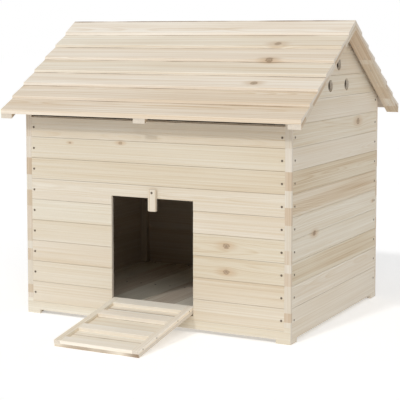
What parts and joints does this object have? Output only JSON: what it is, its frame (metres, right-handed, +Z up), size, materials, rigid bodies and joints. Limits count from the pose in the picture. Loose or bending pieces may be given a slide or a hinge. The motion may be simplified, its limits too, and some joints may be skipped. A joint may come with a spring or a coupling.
{
  "type": "nesting box",
  "caption": "Small boarded wooden house for ducks or hens, with a lapped gable roof, a doorway whose door folds down as a ramp, and vent holes in both gables.",
  "frame": {"origin": "on the ground, at the middle of the area that the house and its lowered ramp cover", "axes": "+Z up, front with the doorway and ramp towards -Y, +X to the right seen from the front"},
  "size_m": [1.0026, 1.0996, 0.917],
  "materials": {
    "wall_board": "planed raw softwood boards",
    "roof_board": "planed raw softwood boards, lapped",
    "frame_wood": "raw softwood strips, finger jointed",
    "ramp_wood": "planed raw softwood",
    "floor_board": "raw softwood planks",
    "steel": "dull blued steel"
  },
  "bodies": {
    "house": {"back_wall_boards": "wall_board", "back_wall_nails": "steel", "base_rail_back": "frame_wood", "base_rail_front": "frame_wood", "base_rail_left": "frame_wood", "base_rail_right": "frame_wood", "corner_post_back_left": "frame_wood", "corner_post_back_right": "frame_wood", "corner_post_front_left": "frame_wood", "corner_post_front_right": "frame_wood", "corner_trim_back_left": "frame_wood", "corner_trim_back_right": "frame_wood", "corner_trim_front_left": "frame_wood", "corner_trim_front_right": "frame_wood", "door_jamb_left": "frame_wood", "door_jamb_right": "frame_wood", "door_lintel": "frame_wood", "floor_bearers": "frame_wood", "floor_boards": "floor_board", "floor_nails": "steel", "front_boards_above_door": "wall_board", "front_boards_left_of_door": "wall_board", "front_boards_right_of_door": "wall_board", "front_header_board": "wall_board", "front_sill_board": "wall_board", "front_wall_nails": "steel", "left_gable_boards": "wall_board", "left_wall_boards": "wall_board", "left_wall_nails": "steel", "rafter_front_left": "frame_wood", "rafter_front_right": "frame_wood", "rafter_rear_left": "frame_wood", "rafter_rear_right": "frame_wood", "ramp_hinge_pins": "steel", "right_gable_boards": "wall_board", "right_wall_boards": "wall_board", "right_wall_nails": "steel", "roof_front_batten_left": "frame_wood", "roof_front_batten_middle": "frame_wood", "roof_front_batten_right": "frame_wood", "roof_front_boards": "roof_board", "roof_front_screws": "steel", "roof_hinge_front_leaves": "steel", "roof_hinge_pins": "steel", "turn_button_screw": "steel"},
    "ramp": {"ramp_batten_1": "ramp_wood", "ramp_batten_2": "ramp_wood", "ramp_batten_3": "ramp_wood", "ramp_batten_4": "ramp_wood", "ramp_boards": "ramp_wood", "ramp_screws": "steel", "ramp_stile_left": "ramp_wood", "ramp_stile_right": "ramp_wood"},
    "turn_button": {"turn_button": "ramp_wood"},
    "rear_roof": {"roof_hinge_rear_leaves": "steel", "roof_rear_batten_left": "frame_wood", "roof_rear_batten_middle": "frame_wood", "roof_rear_batten_right": "frame_wood", "roof_rear_boards": "roof_board", "roof_rear_screws": "steel"}
  },
  "joints": [
    {"name": "ramp_hinge", "type": "hinge", "parent": "house", "child": "ramp", "pos_m": [0, -0.2283, 0.062], "axis": [-1, 0, 0], "range_deg": [0, 100.15]},
    {"name": "button_turn", "type": "hinge", "parent": "house", "child": "turn_button", "pos_m": [0.006, -0.2333, 0.4075], "axis": [0, -1, 0], "range_deg": [0, 96]},
    {"name": "roof_hinge", "type": "hinge", "parent": "house", "child": "rear_roof", "pos_m": [0, 0.1337, 0.91375], "axis": [1, 0, 0], "range_deg": [0, 160]}
  ],
  "couplings": [
    {"joint": "button_turn", "follows": "ramp_hinge", "ratio": 0.95}
  ]
}
